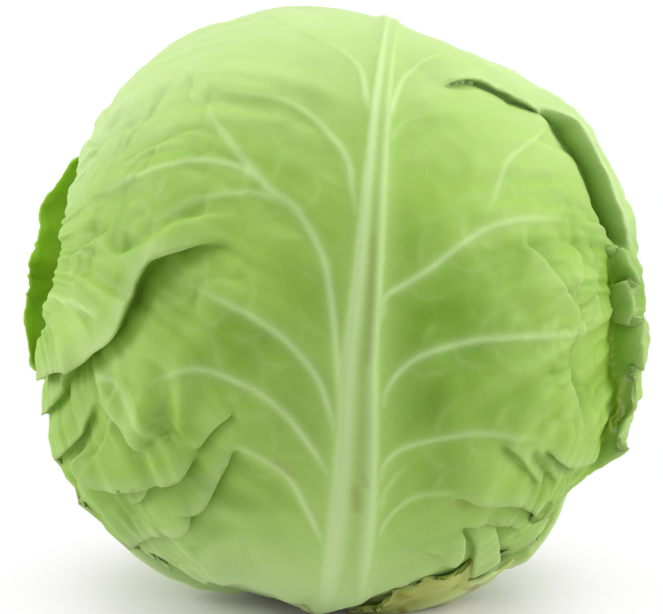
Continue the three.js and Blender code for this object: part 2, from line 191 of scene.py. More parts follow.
# Folds of the front leaf: a name, the line in pixels of the view, then lift and
# valley in millimetres and overhang, edge and fade in degrees. The side to the
# left of the line's run stands out and overhangs the other.
FRONT_FOLDS = [
    ("crown lip", [(438, 90), (450, 83), (464, 79), (482, 80), (499, 88), (516, 99), (533, 109),
        (547, 117)], (2.6, 1.2, 1.9, 0.9, 12)),
    ("strip", [(530, 102), (545, 113), (558, 128), (568, 143), (579, 159), (588, 176), (596, 194),
        (604, 214), (610, 238), (613, 262)], (6.8, 1.6, 2.5, 1.6, 24)),
    ("left shoulder", [(46, 380), (58, 370), (70, 363), (93, 355), (105, 346), (118, 336), (126, 321),
        (131, 310), (135, 295), (143, 280), (156, 263), (179, 253), (210, 245), (242, 243)],
        (5.5, 1.8, 2.6, 1.7, 12)),
    ("lobe edge", [(568, 500), (579, 482), (588, 462), (592, 440), (597, 419), (603, 394), (608, 364),
        (612, 342), (612, 325), (606, 313), (607, 292), (612, 275), (610, 261), (604, 248), (598, 228),
        (582, 214)], (2.6, 1.4, 1.6, 0.8, 6)),
    ("first flap", [(88, 438), (93, 461), (109, 474), (130, 477), (158, 475), (179, 470), (194, 461),
        (201, 445)], (5.5, 1.6, 2.0, 1.2, 7)),
    ("second flap", [(176, 510), (189, 507), (204, 501), (213, 485), (227, 459), (240, 446)],
        (3.6, 1.2, 1.8, 1.2, 6)),
    ("third flap", [(112, 546), (126, 542), (147, 530), (164, 524), (181, 526), (196, 514), (206, 499)],
        (3.6, 1.6, 1.8, 1.1, 6)),
    ("left edge", [(48, 404), (57, 440), (66, 463), (78, 476), (86, 494), (100, 512), (107, 523),
        (116, 540)], (0.8, 1.2, 0.4, 1.4, 8)),
    ("left fold", [(77, 474), (73, 458), (78, 444), (88, 430), (94, 414), (97, 396)],
        (2.6, 1.4, 1.0, 1.0, 6)),
    ("edge of the middle strip", [(92, 440), (90, 456), (94, 478), (100, 500), (107, 518)],
        (2.6, 1.4, 1.2, 1.0, 5)),
    ("hood", [(58, 414), (66, 398), (72, 380), (84, 362), (96, 356)], (3.2, 1.6, 1.2, 1.2, 5)),
    ("hollow under the ridge", [(96, 400), (110, 408), (126, 420), (142, 438), (158, 450)],
        (2.8, 1.8, 1.4, 1.2, 5)),
    ("edge of the fan", [(196, 452), (206, 438), (218, 424), (236, 412)], (2.0, 1.4, 1.2, 1.2, 5)),
    ("curled hollow", [(134, 496), (148, 494), (155, 485), (148, 476)], (2.0, 1.4, 1.0, 1.0, 4)),
    ("bottom edge", [(206, 588), (207, 574), (226, 573), (244, 573), (257, 581), (280, 586), (298, 593),
        (322, 596)], (3.4, 1.8, 1.8, 1.0, 8)),
    ("base pleat", [(446, 502), (467, 495), (488, 494), (508, 491), (524, 497), (536, 505), (541, 516)],
        (5.0, 1.8, 2.4, 1.2, 9)),
    ("big petal", [(488, 566), (506, 555), (528, 535), (539, 518), (540, 506), (530, 499)],
        (3.6, 1.8, 1.8, 1.1, 6)),
    ("petal rim", [(462, 534), (474, 527), (488, 523), (506, 520), (516, 527)], (2.8, 1.8, 1.4, 1.0, 5)),
    ("first slot", [(440, 566), (452, 560), (460, 548), (465, 532)], (2.6, 1.4, 1.2, 1.2, 6)),
    ("first petal", [(472, 528), (474, 544), (471, 560), (465, 576)], (1.8, 1.2, 0.8, 1.2, 5)),
    ("second slot", [(494, 562), (496, 548), (496, 536), (494, 524)], (2.2, 1.4, 1.0, 1.2, 5)),
    ("crease over the pleat", [(496, 440), (512, 452), (524, 468), (534, 482)], (2.2, 1.2, 0.7, 1.3, 5)),
    ("second crease", [(524, 440), (534, 452), (542, 466), (550, 478)], (1.8, 1.0, 0.5, 1.2, 4)),
    ("lower lobe hem", [(534, 440), (548, 450), (562, 458), (576, 456), (588, 446)],
        (3.2, 1.6, 1.6, 1.1, 6)),
    ("upright wrinkle", [(584, 352), (576, 322), (573, 292), (578, 262), (574, 236)],
        (2.0, 1.2, 1.0, 1.1, 4)),
    ("second wrinkle", [(598, 336), (592, 300), (590, 270), (594, 240)], (2.0, 1.2, 1.0, 0.9, 3)),
    ("lower wrinkle", [(570, 440), (576, 410), (568, 380), (576, 350)], (1.6, 1.0, 0.7, 1.2, 5)),
    ("slanting step", [(572, 316), (558, 286), (540, 256), (520, 240)], (2.4, 1.4, 0.8, 1.9, 7)),
    ("left wrinkle", [(230, 214), (190, 222), (150, 244), (118, 262)], (1.2, 0.8, 0.5, 1.6, 5)),
    ("upper left wrinkle", [(214, 130), (180, 136), (150, 150), (120, 168)], (1.1, 0.7, 0.4, 1.8, 6)),
    ("limb wrinkle", [(120, 230), (92, 244), (70, 262)], (1.2, 0.8, 0.5, 1.5, 5)),
    ("low left fold", [(284, 517), (254, 508), (228, 504), (206, 505)], (0.8, 0.5, 0.2, 2.4, 7)),
    ("bottom ripple", [(250, 532), (238, 531), (223, 533), (208, 542), (200, 556)],
        (0.9, 0.5, 0.2, 2.2, 6)),
]

# The torn and rolled right margin, in angles up and off the front rib
FRONT_MARGIN_ROLL = ("margin roll", [(124, 58), (108, 63), (95, 65), (80, 66), (64, 66), (48, 64),
        (34, 61), (22, 57)], (7.5, 1.6, 1.7, 1.5, 30))

# Soft upright ripples: pixel of the view, reach across and along in degrees,
# height in millimetres
FRONT_RIPPLES = [
    ((147, 416), 2.6, 7, 1.6), ((168, 414), 2.4, 7, -1.4), ((183, 410), 2.4, 7, 1.8),
    ((200, 408), 2.6, 7, -1.2), ((84, 470), 3.0, 5, 1.6), ((588, 400), 1.8, 6, 1.2),
    ((560, 400), 2.4, 7, 0.8), ((134, 566), 3.0, 5, 1.2), ((172, 560), 2.6, 5, 1.8),
    ((520, 470), 2.4, 4, 1.0),
]

# Tan and brown marks: line in pixels of the view, half width in degrees, strength
FRONT_STAINS = [
    ([(50, 376), (58, 371), (66, 365)], 0.5, 0.7),
    ([(96, 396), (98, 404)], 0.5, 0.35),
    ([(354, 482), (356, 500)], 0.8, 0.4),
    ([(362, 470), (364, 478)], 0.6, 0.3),
    ([(372, 240), (370, 300), (366, 360)], 0.6, 0.3),
    ([(452, 504), (470, 506)], 1.0, 0.3),
    ([(270, 592), (288, 593), (300, 597), (322, 602)], 0.8, 0.6),
    ([(352, 606), (372, 600), (392, 593), (412, 587), (440, 586)], 0.7, 0.6),
    ([(190, 507), (203, 503)], 0.4, 0.5),
    ([(276, 462), (292, 474)], 0.8, 0.25),
    ([(206, 576), (206, 586)], 0.5, 0.4),
]

# Soft darker patches of the front leaf, partly darker green of the blade and partly painted shade, strongest
# in the shaded gorge by the right margin: pixel of the view, reach in degrees, strength
FRONT_DARK_AND_SHADED_PATCHES = [
    ((455, 320), 16, 0.75), ((430, 400), 10, 0.7), ((425, 250), 9, 0.45), ((300, 300), 9, 0.35),
    ((290, 395), 8, 0.3), ((440, 478), 6, 0.5), ((240, 350), 8, 0.45), ((170, 425), 4, 0.3),
    ((232, 562), 5, 0.45), ((120, 500), 7, 0.4), ((612, 290), 9, 0.8), ((200, 480), 6, 0.4),
    ((500, 400), 9, 0.4),
]


def smooth_step(value, low, high):
    """Goes from 0 at low to 1 at high with level ends."""
    share = np.clip((value - low) / (high - low), 0.0, 1.0)
    return share * share * (3.0 - 2.0 * share)


def hill(value, width, power=2):
    """Is 1 at value 0 and falls off over the width on both sides."""
    return np.exp(-np.abs(value / width) ** power)


def rib_taper(up_rib):
    """The share of its base size that a rib keeps, up its run."""
    return 1 + (RIB_TAPER - 1) * smooth_step(up_rib, LEAF_START, RIB_REACH)


def degrees_between(directions, middle):
    """The angle from each direction to one of them."""
    return np.degrees(np.arccos(np.clip(directions @ middle, -1, 1)))


def unit(vectors):
    """The vectors at length 1."""
    return vectors / np.linalg.norm(vectors, axis=-1, keepdims=True)


def soft_noise(points, scale, seed):
    """Smooth noise between -1 and 1 over points in space, alike on each run."""
    lattice = np.random.RandomState(seed).uniform(-1, 1, (32, 32, 32))
    place = points / scale
    cell = np.floor(place).astype(int)
    share = place - cell
    share = share * share * (3 - 2 * share)
    total = np.zeros(len(points))
    for corner in np.ndindex(2, 2, 2):
        weight = np.ones(len(points))
        for axis in range(3):
            weight *= share[:, axis] if corner[axis] else 1 - share[:, axis]
        index = (cell + corner) % 32
        total += weight * lattice[index[:, 0], index[:, 1], index[:, 2]]
    return total


class HeadForm:
    """The rounded form of the head, its growth axis and how the camera sees it."""

    def __init__(self, sizes):
        self.widest = sizes.radius / MILLIMETRE
        self.half_length = sizes.half_length / MILLIMETRE
        self.roundness = sizes.roundness
        back = sizes.lean_back
        side = sizes.lean_side
        self.crown = np.array([
            math.sin(side), math.sin(back) * math.cos(side), math.cos(back) * math.cos(side),
        ])
        front = np.array([0.0, -1.0, 0.0])
        self.front = unit(front - self.crown * front.dot(self.crown))
        self.across = np.cross(self.crown, self.front)
        self.centre = np.array([sizes.centre_right, sizes.centre_back, sizes.centre_height]) / MILLIMETRE

    def radius(self, directions):
        """The plain radius of the head in each direction."""
        along = np.abs(directions @ self.crown)
        out = np.sqrt(np.maximum(0.0, 1.0 - along * along))
        total = (out / self.widest) ** self.roundness + (along / self.half_length) ** self.roundness
        return total ** (-1.0 / self.roundness)

    def floor_radius(self, directions):
        """The radius at which each direction meets the surface under the head."""
        down = directions[:, 2]
        reach = np.full(len(down), np.inf)
        reach[down < 0] = -self.centre[2] / down[down < 0]
        return reach

    def around(self, count):
        """Directions once round the growth axis."""
        turn = np.radians(np.arange(count) * 360 / count)[:, None]
        return np.cos(turn) * self.front + np.sin(turn) * self.across

    def rib_frame(self, turn):
        """The outward direction of a leaf's rib, and its side."""
        angle = math.radians(turn)
        outward = math.cos(angle) * self.front + math.sin(angle) * self.across
        return outward, np.cross(self.crown, outward)

    def direction(self, turn, up_rib, off_rib):
        """Directions from angles up a leaf's rib and off it, in degrees."""
        outward, side = self.rib_frame(turn)
        s = np.radians(up_rib)[:, None]
        w = np.radians(off_rib)[:, None]
        return np.cos(w) * (np.sin(s) * outward - np.cos(s) * self.crown) + np.sin(w) * side

    def angles(self, turn, directions):
        """Angles up a leaf's rib and off it, in degrees, from directions."""
        outward, side = self.rib_frame(turn)
        s = np.degrees(np.arctan2(directions @ outward, -(directions @ self.crown)))
        w = np.degrees(np.arcsin(np.clip(directions @ side, -1, 1)))
        return np.where(s < -90, s + 360, s), w

    def camera_axes(self, stage):
        """The camera's place from the head's centre, and its forward, right and up."""
        rise = stage.elevation
        place = stage.distance / MILLIMETRE * np.array([0.0, -math.cos(rise), math.sin(rise)])
        forward = -unit(place)
        right = np.array([1.0, 0.0, 0.0])
        return place, forward, right, np.cross(right, forward)

    def seen_at(self, pixels, stage):
        """The direction on the head that each pixel of the view looks at."""
        place, forward, right, up = self.camera_axes(stage)
        distance = np.linalg.norm(place)
        pixels = np.array(pixels, float)
        x = (pixels[:, 0] - HEAD_PIXEL[0]) / PIXELS_PER_MM
        y = (HEAD_PIXEL[1] - pixels[:, 1]) / PIXELS_PER_MM
        rays = unit(distance * forward + x[:, None] * right + y[:, None] * up)
        found = []
        steps = np.linspace(distance - SEARCH_NEAR, distance + SEARCH_FAR, SEARCH_STEPS)
        for ray in rays:
            points = place + steps[:, None] * ray
            directions = unit(points)
            reach = np.minimum(self.radius(directions), self.floor_radius(directions))
            inside = np.linalg.norm(points, axis=1) - reach
            hits = np.nonzero(inside < 0)[0]
            found.append(directions[hits[0] if len(hits) else inside.argmin()])
        return np.array(found)


class Stroke:
    """A line drawn on the head through a few points of the view."""

    SPACING = 0.3

    def __init__(self, directions):
        points = [directions[0]]
        ends = [2 * directions[0] - directions[1], *directions, 2 * directions[-1] - directions[-2]]
        for before, here, there, after in zip(ends, ends[1:], ends[2:], ends[3:]):
            run = math.degrees(math.acos(min(1.0, float(here @ there))))
            count = max(2, int(run / self.SPACING))
            for t in np.arange(1, count + 1) / count:
                points.append(0.5 * (
                    2 * here + (there - before) * t + (2 * before - 5 * here + 4 * there - after) * t * t
                    + (3 * here - before - 3 * there + after) * t ** 3
                ))
        self.points = unit(np.array(points))
        tangents = np.gradient(self.points, axis=0)
        tangents -= self.points * np.sum(tangents * self.points, axis=1, keepdims=True)
        self.tangents = unit(tangents)
        self.lefts = np.cross(self.points, self.tangents)
        steps = np.linalg.norm(np.diff(self.points, axis=0), axis=1)
        self.length = np.degrees(steps.sum())
        self.share = np.concatenate([[0.0], np.cumsum(steps)]) / steps.sum()

    def beside(self, directions):
        """For each direction: degrees to the left of the line, the share of the
        line's run it lies beside, degrees past the line's ends, and the left."""
        nearest = np.argmax(directions @ self.points.T, axis=1)
        left = self.lefts[nearest]
        off = np.degrees(np.arcsin(np.clip(np.sum(directions * left, axis=1), -1, 1)))
        run = np.degrees(np.sum(directions * self.tangents[nearest], axis=1))
        past = np.zeros(len(directions))
        first = nearest == 0
        last = nearest == len(self.points) - 1
        past[first] = np.maximum(0, -run[first])
        past[last] = np.maximum(0, run[last])
        return off, np.clip(self.share[nearest] + run / self.length, 0, 1), past, left


class Leaf:
    """A wrapper leaf: where it lies, and its outer face in each direction."""

    def __init__(self, form, name, outside):
        self.form = form
        self.name = name
        self.outside = outside
        self.course = [(0, 0)]
        self.bulges = []
        self.__dict__.update(LEAVES[name])
        self.seed = sorted(LEAVES).index(name)

    def half_width(self, up_rib, off_rib):
        """Half width in degrees on the side that off_rib is on."""
        rows = np.array(self.outline, float)
        left = np.interp(up_rib, rows[:, 0], rows[:, 1])
        right = np.interp(up_rib, rows[:, 0], rows[:, 2])
        return np.where(off_rib < 0, left, right)

    def start(self, off_rib):
        """Where the leaf starts up its rib, hugging the round of the stem."""
        ratio = math.cos(math.radians(LEAF_START)) / np.cos(np.radians(off_rib))
        return np.degrees(np.arccos(np.minimum(1.0, ratio)))

    def tip(self, share):
        """Where the leaf ends up its rib, at a share of its half width."""
        return self.end - self.tip_round * np.clip(share, -1, 1) ** 2

    def beyond(self, up_rib, off_rib):
        """Degrees by which a place lies outside the leaf's outline."""
        half = self.half_width(up_rib, off_rib)
        past_tip = up_rib - self.tip(off_rib / half)
        before_start = self.start(off_rib) - up_rib
        return np.maximum.reduce([np.zeros(len(half)), np.abs(off_rib) - half, before_start, past_tip])

    def from_rib(self, up_rib, off_rib):
        """Degrees from the middle of the rib, which needn't run straight."""
        rows = np.array(self.course, float)
        return off_rib - np.interp(up_rib, rows[:, 0], rows[:, 1])

    def bulge(self, directions):
        """Broad swellings and dips in millimetres."""
        total = np.zeros(len(directions))
        for up_rib, off_rib, reach, height in self.bulges:
            middle = self.form.direction(self.turn, np.array([up_rib]), np.array([off_rib]))[0]
            total += height * hill(degrees_between(directions, middle), reach)
        return total

    def lift(self, up_rib, off_rib):
        """How far the rib and the margins stand out of the head."""
        taper = rib_taper(up_rib)
        width, height = self.rib
        rib = height * taper * hill(self.from_rib(up_rib, off_rib), width * taper)
        share = np.abs(off_rib) / self.half_width(up_rib, off_rib)
        flare = np.where(off_rib < 0, self.flare[0], self.flare[1])
        opening = smooth_step(up_rib, *FLARE_STARTS) * (1 - smooth_step(up_rib, *FLARE_ENDS))
        return rib + smooth_step(share, *FLARE_MARGIN) * flare * opening

    def plain_radius(self, directions):
        """The outer face before its folds and veins, pressed in by what lies outside it."""
        up_rib, off_rib = self.form.angles(self.turn, directions)
        radius = self.form.radius(directions) - self.layer * LAYER + self.lift(up_rib, off_rib)
        return np.minimum(radius + self.bulge(directions), self.room(directions))

    def room(self, directions):
        """The radius that the floor and the leaves outside leave free."""
        return np.minimum(self.form.floor_radius(directions), room_under(self.outside, directions))


def room_under(leaves, directions):
    """The radius that some leaves leave free inside them."""
    room = np.full(len(directions), np.inf)
    for leaf in leaves:
        up_rib, off_rib = leaf.form.angles(leaf.turn, directions)
        beyond = np.maximum(0, leaf.beyond(up_rib, off_rib) - OUTLINE_MARGIN)
        under = leaf.plain_radius(directions) - BLADE - PRESSED_GAP + EDGE_OPENING * beyond
        room = np.where(beyond < 20, np.minimum(room, under), room)
    return room


def grid_normals(grid):
    """Unit normals of a grid of points, facing away from the head."""
    along_rows = np.gradient(grid, axis=0)
    along_columns = np.gradient(grid, axis=1)
    normals = np.cross(along_columns, along_rows)
    length = np.linalg.norm(normals, axis=-1, keepdims=True)
    return normals / np.maximum(length, 1e-9)


def leaf_net(leaf, rows, columns):
    """Angles up and off the rib on a net of rows and columns over the leaf."""
    share_up = np.linspace(0, 1, rows + 1)[:, None] ** 1.1
    share_off = np.linspace(-1, 1, columns + 1)[None, :]
    share_off = np.repeat(share_off, rows + 1, axis=0)
    broad = share_off * leaf.half_width(np.zeros_like(share_off), share_off)
    start = leaf.start(broad)
    uneven = 0.5 + 0.3 * np.sin(share_off * 23 + leaf.seed) + 0.2 * np.sin(share_off * 51 + 1)
    start += leaf.ragged * TORN_BASE * uneven * smooth_step(np.abs(share_off), 0.3, 0.6)
    if leaf.name == "leaf_front":
        off, width, depth = STUB_NOTCH
        start += depth * hill(broad - off, width, 4)
    tip = leaf.tip(share_off)
    if leaf.end < SHORT_LEAF:
        tip = tip + leaf.ragged * (np.sin(share_off * 7 + 1.2) + 0.5 * np.sin(share_off * 19))
    up_rib = start + share_up * (tip - start)
    off_rib = share_off * leaf.half_width(up_rib, share_off)
    random = np.random.RandomState(leaf.seed + 11)
    for count in MARGIN_WAVES:
        phase = random.uniform(0, 6.28, 2)[(share_off > 0).astype(int)]
        wave = np.sin(up_rib / leaf.end * count * 3.1 + phase) / count ** 0.5
        off_rib += np.sign(share_off) * leaf.ragged * wave * smooth_step(np.abs(share_off), 0.9, 1)
    return up_rib, off_rib, share_up + 0 * share_off, share_off


def quads(grid):
    """Faces between the neighbours of a grid of point numbers."""
    corners = [grid[:-1, :-1], grid[:-1, 1:], grid[1:, 1:], grid[1:, :-1]]
    return np.stack(corners, axis=-1).reshape(-1, 4).tolist()


def rim(grid):
    """The point numbers once round the border of a grid, closed."""
    return np.concatenate([grid[0, :], grid[1:, -1], grid[-1, -2::-1], grid[-2::-1, 0]])


def shell_faces(rows, columns, coarse):
    """Faces of a closed shell: a fine outer face, a coarser inner one, and the rim between."""
    outer = np.arange((rows + 1) * (columns + 1)).reshape(rows + 1, columns + 1)
    inner_shape = (rows // coarse + 1, columns // coarse + 1)
    inner = outer.size + np.arange(inner_shape[0] * inner_shape[1]).reshape(inner_shape)
    faces = quads(outer) + quads(inner.T)
    fine_rim = rim(outer)
    coarse_rim = rim(inner)
    for k in range(len(coarse_rim) - 1):
        edge = fine_rim[k * coarse:(k + 1) * coarse + 1].tolist()
        faces.append(edge[::-1] + [int(coarse_rim[k]), int(coarse_rim[k + 1])])
    return faces


def ring_faces(rings, turns, crown_first):
    """Faces of a closed shape made of a first pole, rings of points and a last pole."""
    ring = 1 + np.arange(rings * turns).reshape(rings, turns)
    beside = np.roll(ring, -1, axis=1)
    last = rings * turns + 1
    faces = np.stack([ring[:-1], ring[1:], beside[1:], beside[:-1]], axis=-1).reshape(-1, 4).tolist()
    faces += [[0, int(a), int(b)] for a, b in zip(ring[0], beside[0])]
    faces += [[last, int(b), int(a)] for a, b in zip(ring[-1], beside[-1])]
    return faces if crown_first else [face[::-1] for face in faces]


def make_piece(name, points, faces, masks, material, slot):
    """A smooth mesh in metres that rides on the body and stands for its node."""
    mesh = bpy.data.meshes.new(name + "_skin")
    mesh.from_pydata((points * MILLIMETRE).tolist(), [], faces)
    mesh.validate()
    for mask, values in masks.items():
        layer = mesh.attributes.new(mask, "FLOAT", "POINT")
        layer.data.foreach_set("value", np.asarray(values, np.float32))
    mesh.polygons.foreach_set("use_smooth", [True] * len(mesh.polygons))
    mesh.materials.append(material)
    piece = bpy.data.objects.new(name + "_skin", mesh)
    bpy.context.scene.collection.objects.link(piece)
    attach(piece, "root")
    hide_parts(name)
    return piece


def fold_field(strokes, folds, directions):
    """Lift in millimetres, a mask of painted shade in the folds' hollows, one of painted highlight on their
    lips, and sideways move of some folds.
    """
    lift = np.zeros(len(directions))
    shaded_hollow = np.zeros(len(directions))
    highlit_lip = np.zeros(len(directions))
    move = np.zeros_like(directions)
    for stroke, (height, valley, overhang, edge, fade) in zip(strokes, folds):
        off, share, past, left = stroke.beside(directions)
        ends = smooth_step(share, 0, FOLD_RISES) * (1 - smooth_step(share, FOLD_FALLS, 1))
        ends *= hill(past, PAST_FOLD)
        near = off / edge
        raised = smooth_step(off, -0.6 * edge, 0.9 * edge) * np.exp(-np.maximum(0, off) / fade)
        lift += ends * (height * raised - valley * hill(near + 1.0, 1.2))
        marked = ends * min(1, height / FULL_MARK)
        # Painted shade at each fold's foot and a painted highlight along its raised lip, both stronger on
        # taller folds
        foot = 0.8 * hill(near + 0.7, 0.7) + 0.28 * hill(near - 0.2, 1.2)
        shaded_hollow = np.maximum(shaded_hollow, marked * foot)
        highlit_lip = np.maximum(highlit_lip, marked * hill(near - 1.0, 0.9))
        slide = -overhang * near * np.exp(0.5 * (1 - near ** 2)) * ends
        move += np.radians(slide)[:, None] * left
    return lift, shaded_hollow, highlit_lip, move


def vein_field(strokes, veins, directions, across, finest):
    """How much each direction lies on a vein, from 0 to 1, and the blade's soft
    steps over its veins in millimetres. No vein is narrower than the finest."""
    mask = np.zeros(len(directions))
    terrace = np.zeros(len(directions))
    for stroke, ((base, tip), _) in zip(strokes, veins):
        off, share, past, _ = stroke.beside(directions)
        width = np.maximum(finest, VEIN_WIDTH * (base + (tip - base) * share))
        scale = min(1, base ** 1.2)
        ends = (0.5 + 0.5 * smooth_step(share, 0, 0.12)) * (1 - smooth_step(share, 0.6, 1))
        ends *= hill(past, width)
        profile = 0.7 * hill(off, width) + 0.3 * hill(off, 3 * width)
        mask = np.maximum(mask, scale * (1 - 0.45 * share) * ends * profile)
        side = np.exp(-np.abs(off) / 7) * np.tanh(off / 1.6) * np.exp(-past / 3)
        outward = 1 if stroke.points[-1] @ across > stroke.points[0] @ across else -1
        terrace += scale * side * outward
    return mask, VEIN_STEP * np.clip(terrace, -1.6, 1.6)


class LeafLook(bpy.types.PropertyGroup):
    """Colours of the leaves."""

    blade: FloatVectorProperty(name="Blade", description="Green of the leaf blade", subtype="COLOR",
                               default=(0.320, 0.525, 0.075), min=0, max=1)
    # The deep green is both the darker green between the veins and the colour of painted shade in folds,
    # creases and shaded patches
    deep: FloatVectorProperty(name="Deep", description="Darker green between the veins", subtype="COLOR",
                              default=(0.145, 0.300, 0.004), min=0, max=1)
    vein: FloatVectorProperty(name="Vein", description="Pale green of the ribs and veins", subtype="COLOR",
                              default=(0.60, 0.77, 0.40), min=0, max=1)


class HeadSizes(bpy.types.PropertyGroup):
    """Sizes of the head."""

    radius: FloatProperty(name="Radius", description="Half the width of the head", default=0.0855,
                          unit="LENGTH")
    half_length: FloatProperty(name="Half length", description="From the centre to the crown", default=0.09,
                               unit="LENGTH")
    roundness: FloatProperty(name="Roundness", description="2 is an ellipse, more is fuller", default=2.2,
                             min=2, max=4, subtype="FACTOR")
    centre_height: FloatProperty(name="Centre height", description="The centre above the surface",
                                 default=0.085, unit="LENGTH")
    centre_right: FloatProperty(name="Centre right", description="The centre to the right of the flat spot",
                                default=-0.0015, unit="LENGTH")
    centre_back: FloatProperty(name="Centre back", description="The centre behind the flat spot",
                               default=-0.0165, unit="LENGTH")
    lean_back: FloatProperty(name="Lean back", description="How far the crown leans back", subtype="ANGLE",
                             default=math.radians(15))
    lean_side: FloatProperty(name="Lean side", description="How far the crown leans right", subtype="ANGLE",
                             default=math.radians(3.5))


class StageSizes(bpy.types.PropertyGroup):
    """The camera and the lights."""

    elevation: FloatProperty(name="Elevation", description="The camera above the horizon", subtype="ANGLE",
                             default=math.radians(10))
    distance: FloatProperty(name="Distance", description="From the camera to the head's centre", default=1.1,
                            unit="LENGTH")
    key: FloatProperty(name="Key", description="Power of the top light", default=9.5, unit="POWER")
    rim: FloatProperty(name="Rim", description="Power of each side light", default=6, unit="POWER")
    sky: FloatProperty(name="Sky", description="Light from the white surroundings", default=0.45,
                       min=0, max=2, subtype="FACTOR")


def node_maker(tree):
    """A function that adds a node, sets or links its inputs and returns it."""
    def make(kind, label="", inputs=None, **values):
        node = tree.nodes.new(kind)
        node.label = label
        for key, value in values.items():
            setattr(node, key, value)
        for key, value in (inputs or {}).items():
            if isinstance(value, bpy.types.NodeSocket):
                tree.links.new(value, node.inputs[key])
            else:
                node.inputs[key].default_value = value
        return node
    return make


def leaf_blade_group():
    """The look that all leaf blades share: veinlets, mottling, pale veins, tan marks, and the painted shade
    and painted highlights that the deep and pale masks bring.
    """
    name = "leaf blade"
    if name in bpy.data.node_groups:
        return bpy.data.node_groups[name]
    group = bpy.data.node_groups.new(name, "ShaderNodeTree")
    for label, default in (("Blade", (0.3, 0.5, 0.1, 1)), ("Deep", (0.15, 0.35, 0.05, 1)),
                           ("Vein", (0.6, 0.75, 0.4, 1)), ("Vein mask", 0.0), ("Deep mask", 0.0),
                           ("Pale mask", 0.0), ("Stain mask", 0.0)):
        kind = "NodeSocketFloat" if default == 0.0 else "NodeSocketColor"
        socket = group.interface.new_socket(name=label, in_out="INPUT", socket_type=kind)
        socket.default_value = default
    for label, kind in (("Color", "Color"), ("Height", "Float"), ("Roughness", "Float")):
        group.interface.new_socket(name=label, in_out="OUTPUT", socket_type="NodeSocket" + kind)
    make = node_maker(group)
    entry = make("NodeGroupInput").outputs
    place = make("ShaderNodeTexCoord").outputs["Object"]

    mottling = make("ShaderNodeTexNoise", "Mottling", {"Scale": 28, "Detail": 4, "Vector": place})
    mottle = mottling.outputs["Fac"]
    drift = make("ShaderNodeTexNoise", "Bending of the veinlets", {"Scale": 90, "Detail": 2, "Vector": place})
    bend = make("ShaderNodeVectorMath", "Bent places", {0: drift.outputs["Color"], 1: VEINLET_BEND, 2: place},
                operation="MULTIPLY_ADD")
    net = make("ShaderNodeTexVoronoi", "Veinlets", {"Scale": 130, "Vector": bend.outputs[0]},
               feature="DISTANCE_TO_EDGE")
    thread = make("ShaderNodeMapRange", "Veinlet width",
                  {"From Max": 0.12, "To Min": 1, "To Max": 0, "Value": net.outputs["Distance"]}).outputs[0]

    spread = make("ShaderNodeMapRange", "Mottling contrast",
                  {"From Min": 0.35, "From Max": 0.68, "To Max": 0.34, "Value": mottle})
    # Darker places: random mottling, and the deep mask with its darker green and painted shade
    darker = make("ShaderNodeMath", "Darker places", {0: spread.outputs[0], 1: entry["Deep mask"]},
                  operation="ADD", use_clamp=True)
    ground = make("ShaderNodeMix", "Blade and deep green",
                  {"Factor": darker.outputs[0], "A": entry["Blade"], "B": entry["Deep"]}, data_type="RGBA")
    paler = make("ShaderNodeMath", "Veinlets in the colour", {0: thread, 1: 0.02, 2: entry["Vein mask"]},
                 operation="MULTIPLY_ADD")
    # Pale places: the pale mask, with the paler base and painted highlights
    palest = make("ShaderNodeMath", "Pale places", {0: paler.outputs[0], 1: entry["Pale mask"]},
                  operation="MAXIMUM", use_clamp=True)
    colour = make("ShaderNodeMix", "Veins over the blade",
                  {"Factor": palest.outputs[0], "A": ground.outputs["Result"], "B": entry["Vein"]},
                  data_type="RGBA")
    marked = make("ShaderNodeMix", "Tan marks",
                  {"Factor": entry["Stain mask"], "A": colour.outputs["Result"], "B": STAIN_COLOUR},
                  data_type="RGBA")
    height = make("ShaderNodeMath", "Veinlets and mottling in relief", {0: thread, 1: 0.12, 2: mottle},
                  operation="MULTIPLY_ADD")
    wax = make("ShaderNodeMapRange", "Wax bloom", {"To Min": 0.42, "To Max": 0.62, "Value": mottle})
    make("NodeGroupOutput", "Blade", {"Color": marked.outputs["Result"], "Height": height.outputs[0],
                                      "Roughness": wax.outputs[0]})
    return group


def leaf_material(name, look, blade, deep):
    """A waxy leaf that lets light through."""
    material = bpy.data.materials.new(name)
    material.use_nodes = True
    tree = material.node_tree
    make = node_maker(tree)
    inputs = {"Blade": (*blade, 1), "Deep": (*deep, 1), "Vein": (*look.vein, 1)}
    # The deep and pale masks hold painted shade and painted highlights besides the leaf's own darker and
    # paler greens
    for mask in ("vein", "deep", "pale", "stain"):
        source = make("ShaderNodeAttribute", mask, attribute_name=mask)
        inputs[mask.capitalize() + " mask"] = source.outputs["Fac"]
    group = make("ShaderNodeGroup", "Leaf blade", inputs, node_tree=leaf_blade_group())
    bump = make("ShaderNodeBump", "Fine relief",
                {"Strength": 0.25, "Distance": 0.0006, "Height": group.outputs["Height"]})
    shader = tree.nodes["Principled BSDF"].inputs
    tree.links.new(group.outputs["Color"], shader["Base Color"])
    tree.links.new(group.outputs["Roughness"], shader["Roughness"])
    tree.links.new(bump.outputs["Normal"], shader["Normal"])
    shader["Subsurface Weight"].default_value = 0.35
    shader["Subsurface Radius"].default_value = (0.8, 1.0, 0.3)
    shader["Subsurface Scale"].default_value = 0.003
    shader["Specular IOR Level"].default_value = 0.4
    return material


